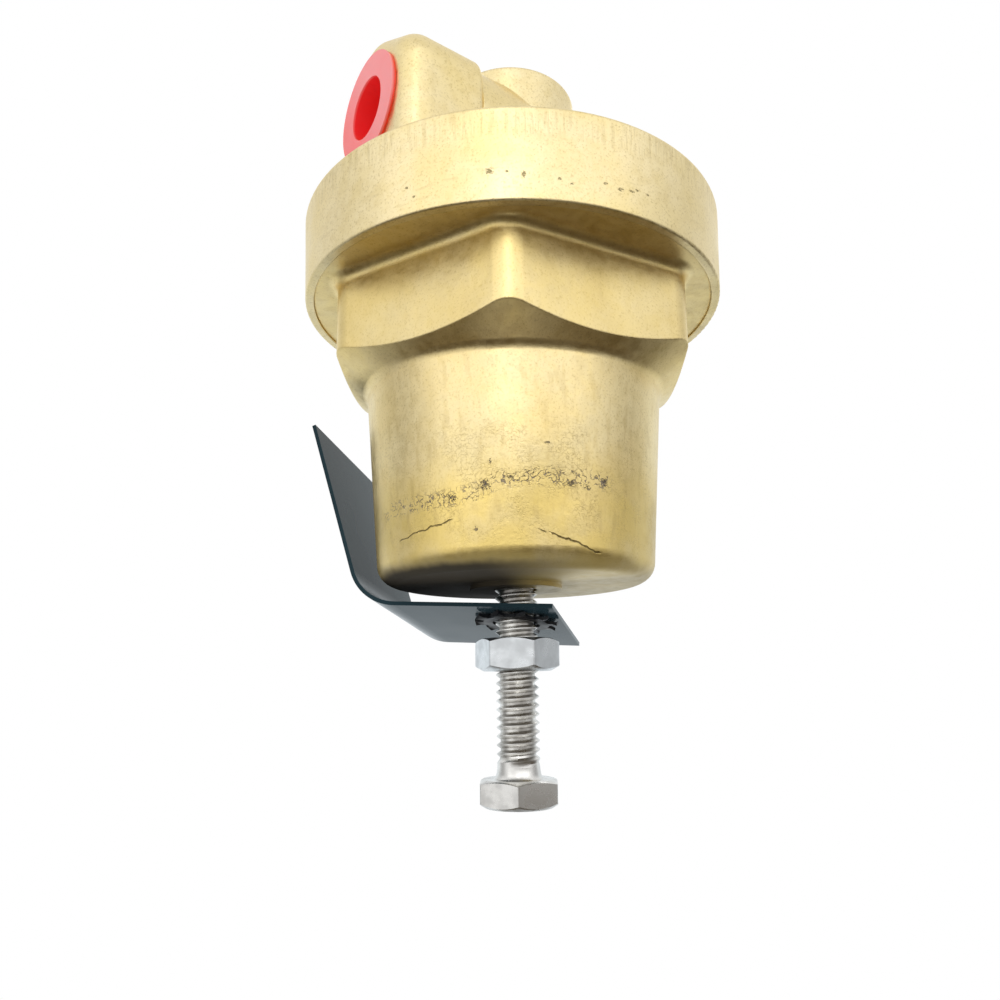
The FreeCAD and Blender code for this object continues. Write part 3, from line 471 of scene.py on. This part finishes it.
# Bonnet: a brass forging that screws into the body, with a hexagon for the spanner and a
# tapered barrel round the spring. Its lower half carries a rough line and two forging laps,
# and painted shade darkens the sides of its lower barrel and its end face.
def bonnet_marks(tree, point, colour, rough, normal):
    """Gold at hexagon and foot, painted shade on the lower sides and end face, the rough line,
    two laps and dents.
    """
    angle, height = round_the_axis(tree, point)[:2]
    lower = band(tree, height, 4.0, 28.0, 1.2)
    flat = unrolled(tree, angle, height, 21.5)
    cloudy = between(tree, grain(tree, point, 0.16, 3.0), 0.30, 0.60, 0.45, 1.0)
    gold = sum_of(tree, "MAXIMUM", between(tree, height, 17.0, 8.0, 0.0, 0.75),
                  between(tree, height, 27.0, 33.0, 0.0, 0.36))
    colour = mixed(tree, sum_of(tree, "MULTIPLY", gold, cloudy), colour, (0.93, 0.70, 0.21))
    # Painted shade: the lower barrel is darker on its sides, turned away from its front.
    lower_side_painted_shade = between(tree, sum_of(tree, "ABSOLUTE", angle), 0.75, 1.20, 0.0, 0.50)
    lower_side_painted_shade = sum_of(tree, "MULTIPLY", lower_side_painted_shade, between(tree, height, 17.0, 8.0))
    colour = mixed(tree, sum_of(tree, "MULTIPLY", lower_side_painted_shade, cloudy), colour, (0.38, 0.30, 0.15))
    # Painted shade on the end face and its rounded edge: near black, dull and not metallic,
    # stronger towards one side.
    side = between(tree, angle, 0.9, -0.3, 0.35, 1.0)
    end_face_painted_shade = between(tree, sum_of(tree, "ADD", height, grain(tree, point, 0.22, 3.0)),
                    2.9, 0.8, 0.0, 0.97)
    end_face_painted_shade = sum_of(tree, "MULTIPLY", end_face_painted_shade, side)
    colour = mixed(tree, end_face_painted_shade, colour, (0.012, 0.009, 0.006))
    rough = sum_of(tree, "MAXIMUM", rough, sum_of(tree, "MULTIPLY", end_face_painted_shade, 0.9))
    shader = tree.nodes["Principled BSDF"]
    tree.links.new(sum_of(tree, "SUBTRACT", 1.0, end_face_painted_shade), shader.inputs["Metallic"])
    line = between(tree, angle, -0.45, 0.05, 9.1, 11.4)
    apart = sum_of(tree, "ABSOLUTE", sum_of(tree, "SUBTRACT", height, line))
    near = between(tree, apart, 1.7, 0.3)
    ends = band(tree, angle, -1.05, 0.62, 0.06)
    patchy = between(tree, grain(tree, flat, 0.45, 2.0), 0.37, 0.50)
    worm = sum_of(tree, "ABSOLUTE", sum_of(tree, "SUBTRACT", grain(tree, flat, 1.1, 2.0), 0.5))
    curl = sum_of(tree, "MULTIPLY", between(tree, worm, 0.038, 0.010), near)
    crumbs = between(tree, grain(tree, flat, 2.3, 3.0, 0.7), 0.63, 0.70)
    crumbs = sum_of(tree, "MULTIPLY", crumbs, between(tree, apart, 2.6, 0.4))
    curl = sum_of(tree, "MAXIMUM", sum_of(tree, "MULTIPLY", curl, patchy), crumbs)
    curl = sum_of(tree, "MULTIPLY", curl, ends)
    colour = mixed(tree, sum_of(tree, "MULTIPLY", curl, 0.80), colour, (0.15, 0.13, 0.15))
    normal = bumped(tree, sum_of(tree, "MULTIPLY", curl, -1.0), 0.05, normal)
    wobble = sum_of(tree, "MULTIPLY_ADD", grain(tree, flat, 0.7, 3.0), 0.9, -0.45)
    cracks = None
    for start, finish, first, last in ((-0.86, -0.42, 4.5, 6.2), (0.13, 0.54, 4.65, 1.9)):
        run = node(tree, "ShaderNodeMapRange")
        for key, number in (("From Min", start), ("From Max", finish), ("To Min", first),
                            ("To Max", last)):
            run.inputs[key].default_value = number
        tree.links.new(angle, run.inputs["Value"])
        off = sum_of(tree, "SUBTRACT", sum_of(tree, "SUBTRACT", height, run.outputs[0]), wobble)
        one = sum_of(tree, "MULTIPLY", between(tree, sum_of(tree, "ABSOLUTE", off), 0.14, 0.04),
                     band(tree, angle, start, finish, 0.02))
        cracks = sum_of(tree, "MAXIMUM", cracks, one) if cracks else one
    broken = between(tree, grain(tree, flat, 0.6, 2.0), 0.36, 0.46)
    cracks = sum_of(tree, "MULTIPLY", cracks, broken)
    colour = mixed(tree, sum_of(tree, "MULTIPLY", cracks, 0.85), colour, (0.16, 0.11, 0.04))
    normal = bumped(tree, sum_of(tree, "MULTIPLY", cracks, -1.0), 0.08, normal)
    creases = sum_of(tree, "SUBTRACT", grain(tree, flat, 1.5, 3.0), 0.5)
    creases = sum_of(tree, "ABSOLUTE", creases)
    creases = sum_of(tree, "MULTIPLY", between(tree, creases, 0.030, 0.006, 0.0, 0.26),
                     between(tree, grain(tree, flat, 0.22, 3.0), 0.38, 0.58))
    creases = sum_of(tree, "MULTIPLY", creases, band(tree, height, 3.0, 19.0, 2.0))
    colour = mixed(tree, creases, colour, (0.42, 0.30, 0.10))
    normal = bumped(tree, sum_of(tree, "MULTIPLY", creases, -1.0), 0.04, normal)
    drawn = grain(tree, unrolled(tree, angle, height, 21.5, 0.25), 0.9, 3.0)
    drawn = sum_of(tree, "MULTIPLY", between(tree, drawn, 0.50, 0.70), lower)
    colour = mixed(tree, sum_of(tree, "MULTIPLY", drawn, 0.30), colour, (0.60, 0.45, 0.18))
    ragged = sum_of(tree, "MULTIPLY_ADD", grain(tree, point, 3.6, 3.0, 0.8), 9.0, -4.2)
    holes = dents(tree, angle, height, 21.5, (
        (-0.26, 4.85, 0.34, 0.30), (0.183, 15.95, 0.50, 0.16), (-0.162, 13.6, 0.16, 0.34),
        (-0.197, 10.5, 0.75, 0.60), (-0.41, 9.2, 0.75, 0.60), (0.328, 10.7, 0.50, 0.36),
        (0.443, 10.4, 0.42, 0.38), (0.571, 11.3, 0.40, 0.75), (-0.045, 11.4, 0.40, 0.22),
        (0.34, 12.3, 0.24, 0.22)), ragged)
    holes = sum_of(tree, "MULTIPLY", holes, lower)
    colour = mixed(tree, sum_of(tree, "MULTIPLY", holes, 0.80), colour, (0.13, 0.11, 0.10))
    normal = bumped(tree, sum_of(tree, "MULTIPLY", holes, -1.0), 0.05, normal)
    return colour, rough, normal


paint("bonnet", forged_brass("bonnet_brass", (0.94, 0.79, 0.45), (0.90, 0.72, 0.35),
                             bonnet_marks))


# Adjusting screw: a zinc plated steel hexagon screw of a quarter inch, its thread rolled
# with 20 turns to the inch. It presses the spring up when it is turned in.
def plated_steel(name, colour, roughness, darker=0.8, darker_within=None):
    """Bright metal with a faint haze, and a patchy brownish darkening closer to the axis than a
    radius.
    """
    material, tree, shader = finish_of(name, 1.0)
    point = in_millimetres(tree)
    haze = grain(tree, point, 0.5, 3.0)
    speckle = grain(tree, point, 5.0, 2.0)
    shade = mixed(tree, between(tree, haze, 0.3, 0.7), colour,
                  tuple(darker * c for c in colour))
    if darker_within:
        # Patchy brownish darkening towards the axis, in the thread's roots.
        reach = round_the_axis(tree, point)[2]
        patchy_inner_darkening = between(tree, reach, darker_within, darker_within - 0.35)
        patchy_inner_darkening = sum_of(tree, "MULTIPLY", patchy_inner_darkening, between(tree, haze, 0.35, 0.60, 0.08, 0.36))
        shade = mixed(tree, patchy_inner_darkening, shade, (0.16, 0.13, 0.09))
    tree.links.new(shade, shader.inputs["Base Color"])
    tree.links.new(between(tree, haze, 0.3, 0.7, roughness, roughness + 0.10),
                   shader.inputs["Roughness"])
    tree.links.new(bumped(tree, speckle, 0.003), shader.inputs["Normal"])
    return material


def hex_columns(flats, turn, corner):
    """Points round a hexagon with rounded corners, 12 to a side, from a turn in degrees."""
    apothem = flats / 2
    half_flat = (apothem - corner) * tan(radians(30.0))
    columns = []
    for side in range(6):
        middle = radians(turn + 30.0 + 60.0 * side)
        for k in range(9):
            across = half_flat * (k / 4 - 1)
            columns.append((apothem * cos(middle) - across * sin(middle),
                            apothem * sin(middle) + across * cos(middle)))
        edge = radians(turn + 60.0 * (side + 1))
        out = (apothem - corner) / cos(radians(30.0))
        for k in (-1, 0, 1):
            sweep = edge + radians(15.0 * k)
            columns.append((out * cos(edge) + corner * cos(sweep),
                            out * sin(edge) + corner * sin(sweep)))
    return columns


def hex_ring(columns, height, turned_to, fall):
    """The hexagon's edge where a 30 degree cone has turned its corners off."""
    return [(x, y, height + fall * max(0.0, sqrt(x * x + y * y) - turned_to))
            for x, y in columns]


def unit(columns):
    return [(x / sqrt(x * x + y * y), y / sqrt(x * x + y * y)) for x, y in columns]


def disc(ring, height):
    """A flat end: the ring closed towards a point in its middle."""
    count = len(ring)
    return list(ring) + [(0.0, 0.0, height)], [(k, (k + 1) % count, count)
                                               for k in range(count)]


screw_steel = plated_steel("zinc_plate", (0.84, 0.83, 0.80), 0.24, 0.8, 3.05)
head = hex_columns(11.11, 52.5, 0.35)
shank = unit(head)
screw_pitch = 1.27
head_top, head_foot = -28.3, -32.27
thread_foot, screw_tip = -26.6, 16.15


def screw_reach(height, share):
    """Rolled crests, a run-out towards the head and a bevel at the tip."""
    settled = min(max((height + 26.4) / 1.3, 0.0), 1.0)
    radius = 3.13 + (3.17 - 0.56 * share - 3.13) * settled
    return min(radius, 2.35 + (screw_tip - height))


tip_ring = []
for x, y in shank:
    turn = (atan2(y, x) / (2 * pi)) % 1.0
    radius = screw_reach(screw_tip, thread_share(screw_tip / screw_pitch - turn))
    tip_ring.append((x * radius, y * radius, screw_tip))
screw_parts = [
    wound_thread(shank, screw_pitch, thread_foot, screw_tip, screw_reach),
    disc(tip_ring, screw_tip),
    skin([ring_at(shank, 3.13, thread_foot), ring_at(shank, 3.17, -27.0),
          ring_at(shank, 3.25, -27.5), ring_at(shank, 3.38, -27.95),
          ring_at(shank, 3.62, -28.22), ring_at(shank, 4.1, head_top),
          ring_at(shank, 5.25, head_top), hex_ring(head, head_top - 0.06, 5.30, -0.42),
          hex_ring(head, head_foot + 0.10, 5.15, 0.577),
          ring_at(shank, 5.0, head_foot), ring_at(shank, 1.2, head_foot + 0.05)]),
    disc(ring_at(shank, 1.2, head_foot + 0.05), head_foot + 0.05),
]
screw = welded("hex_screw", screw_parts, "screw", screw_steel)
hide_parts("adjusting_screw")


# Lock nut: a zinc plated steel nut, bevelled on both sides, that locks the screw once the
# pressure is set. Here it has been run down the screw.
nut_steel = plated_steel("nut_zinc", (0.77, 0.80, 0.82), 0.26)
nut = hex_columns(11.11, 15.5, 0.35)
nut_round = unit(nut)
nut_turns = [(atan2(y, x) / (2 * pi)) % 1.0 for x, y in nut_round]
nut_low, nut_high = -12.81, -8.06


def nut_reach(height, share):
    """The nut's own thread, opened out at both mouths."""
    mouth = min(height - nut_low, nut_high - height)
    return max(3.24 + 0.42 * share, 3.75 - mouth)


nut_mouths = []
for height in (nut_low, nut_high):
    mouth = []
    for (x, y), turn in zip(nut_round, nut_turns):
        radius = nut_reach(height, thread_share(height / screw_pitch - turn))
        mouth.append((x * radius, y * radius, height))
    nut_mouths.append(mouth)
lock_nut = welded("hex_nut", [
    wound_thread(nut_round, screw_pitch, nut_low, nut_high, nut_reach),
    skin([nut_mouths[0], ring_at(nut_round, 5.05, nut_low),
          hex_ring(nut, nut_low + 0.06, 5.2, 0.577),
          hex_ring(nut, nut_high - 0.06, 5.5, -0.577),
          ring_at(nut_round, 5.35, nut_high), nut_mouths[1]]),
], "nut", nut_steel)
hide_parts("lock_nut")


# Tooth washer: a ring of blackened spring steel with ten twisted teeth. It sits against
# the tag's underside and hangs askew with it.
black_steel = plated_steel("black_oxide", (0.012, 0.013, 0.015), 0.30, 0.6)
black_shader = black_steel.node_tree.nodes["Principled BSDF"]
black_shader.inputs["Metallic"].default_value = 0.0
black_shader.inputs["IOR"].default_value = 1.25
askew = (Matrix.Translation((-0.026, 0.0, -0.0752)) @ Matrix.Rotation(radians(-48.6), 4, "Z")
         @ Matrix.Rotation(radians(-8.0), 4, "X") @ Matrix.Rotation(radians(2.9), 4, "Y"))
washer_round = round_columns(60)
washer_mid, washer_half = -0.62, 0.24
washer_parts = [skin([ring_at(washer_round, r, washer_mid + z) for r, z in (
    (3.58, washer_half), (4.95, washer_half), (4.95, -washer_half), (3.58, -washer_half),
    (3.58, washer_half))])]
for tooth in range(10):
    turn = Matrix.Rotation(radians(36.0 * tooth), 3, "Z")
    rings = []
    for reach_out, wide, twist in ((4.6, 1.75, 0.0), (5.1, 1.65, 3.0), (5.7, 1.5, 5.0),
                                   (6.32, 1.25, 24.0)):
        lean = Matrix.Rotation(radians(twist), 3, "X")
        rings.append([tuple(turn @ (Vector((reach_out, 0.0, washer_mid))
                                    + lean @ Vector((0.0, y * wide / 2, z * washer_half))))
                      for y, z in ((-1, -0.98), (1, -0.98), (1, 0.98), (-1, 0.98))])
    points, faces = skin(rings)
    faces += [(0, 1, 2, 3), (12, 13, 14, 15)]
    washer_parts.append((points, faces))
washer = welded("star_washer", washer_parts, "tag", black_steel, askew)
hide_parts("tooth_washer")


# Tag: thin steel sheet in a glossy black enamel, punched and bent once. It hangs askew
# on the screw by a hole near its corner, and swings round it.
tag_black, tag_tree, tag_shader = finish_of("black_enamel", 0.0)
tag_point = in_millimetres(tag_tree)
tag_cloud = grain(tag_tree, tag_point, 0.12, 3.0)
tag_tree.links.new(mixed(tag_tree, tag_cloud, (0.013, 0.028, 0.036), (0.028, 0.052, 0.063)),
                   tag_shader.inputs["Base Color"])
tag_tree.links.new(between(tag_tree, tag_cloud, 0.3, 0.7, 0.10, 0.20),
                   tag_shader.inputs["Roughness"])
tag_tree.links.new(bumped(tag_tree, grain(tag_tree, tag_point, 0.5, 2.0), 0.008),
                   tag_shader.inputs["Normal"])
tag_shader.inputs["IOR"].default_value = 1.12
tag_shader.inputs["Specular Tint"].default_value = (0.62, 0.86, 1.0, 1.0)
paint("tag_plate", tag_black)
tag_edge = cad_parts["tag_plate"].modifiers.new("punched_edge", "BEVEL")
tag_edge.width = 0.00009
tag_edge.segments = 2
tag_edge.limit_method = "ANGLE"
tag_edge.angle_limit = radians(50.0)


# Inlet plug: a soft red plastic cap, pushed into the port to keep dirt out. Light passes
# through it. Its pink face, darker on one side, and its glowing rim are painted light and shade.
plug_red, plug_tree, plug_shader = finish_of("red_plastic", 0.0)
plug_point = in_millimetres(plug_tree)
plug_away = along(plug_tree, plug_point, (-1.0, 0.0, 0.0))
plug_haze = grain(plug_tree, plug_point, 0.35, 3.0)
plug_front = between(plug_tree, plug_away, 52.15, 52.55)
# Painted glow: the rim turns a brighter orange red towards its lower side.
plug_painted_glow = between(plug_tree, along(plug_tree, plug_point, (0.0, 0.6, 0.8)), 2.6, -2.6)
plug_red_and_painted_glow = mixed(plug_tree, plug_painted_glow, (0.97, 0.030, 0.034), (1.0, 0.045, 0.015))
# Painted light: the face is painted pink, and darker towards one side as painted shade.
plug_painted_light_face = mixed(plug_tree, plug_haze, (1.0, 0.21, 0.21), (1.0, 0.33, 0.34))
plug_side_shade_axis = along(plug_tree, plug_point, (0.0, 0.87, -0.5))
plug_painted_light_face = mixed(plug_tree, between(plug_tree, plug_side_shade_axis, -3.0, 6.0, 0.0, 0.6), plug_painted_light_face,
                  (1.0, 0.11, 0.11))
plug_tree.links.new(mixed(plug_tree, plug_front, plug_red_and_painted_glow, plug_painted_light_face),
                    plug_shader.inputs["Base Color"])
plug_tree.links.new(between(plug_tree, plug_haze, 0.3, 0.7, 0.28, 0.42),
                    plug_shader.inputs["Roughness"])
plug_tree.links.new(bumped(plug_tree, grain(plug_tree, plug_point, 2.0, 2.0), 0.004),
                    plug_shader.inputs["Normal"])
plug_shader.inputs["Subsurface Weight"].default_value = 0.35
plug_shader.inputs["Subsurface Scale"].default_value = 0.001
plug_shader.inputs["Subsurface Radius"].default_value = (1.0, 0.25, 0.15)
paint("inlet_plug", plug_red)
plug_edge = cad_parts["inlet_plug"].modifiers.new("moulded_edge", "BEVEL")
plug_edge.width = 0.00016
plug_edge.segments = 3
plug_edge.limit_method = "ANGLE"
plug_edge.angle_limit = radians(50.0)


# Inner pieces: spring steel and stainless for the springs, plates and strainer, turned
# brass for seat, poppet, stud and hub plug, and black rubber for the seals.
inner_steel = plated_steel("spring_steel", (0.55, 0.55, 0.56), 0.3)
for name in ("slip_ring", "inlet_screen", "range_spring", "poppet_spring", "spring_button",
             "pressure_plate", "diaphragm_washer"):
    paint(name, inner_steel)
inner_brass = plated_steel("turned_brass", (0.82, 0.67, 0.36), 0.26, 0.9)
for name in ("hub_plug", "seat_ring", "diaphragm_stud", "diaphragm_nut", "poppet"):
    paint(name, inner_brass)
seal_black, seal_tree, seal_shader = finish_of("seal_rubber", 0.0, 0.7)
seal_point = in_millimetres(seal_tree)
seal_tree.links.new(
    mixed(seal_tree, grain(seal_tree, seal_point, 0.8), (0.02, 0.02, 0.02),
          (0.04, 0.04, 0.04)), seal_shader.inputs["Base Color"])
for name in ("diaphragm", "plug_o_ring", "poppet_seal"):
    paint(name, seal_black)
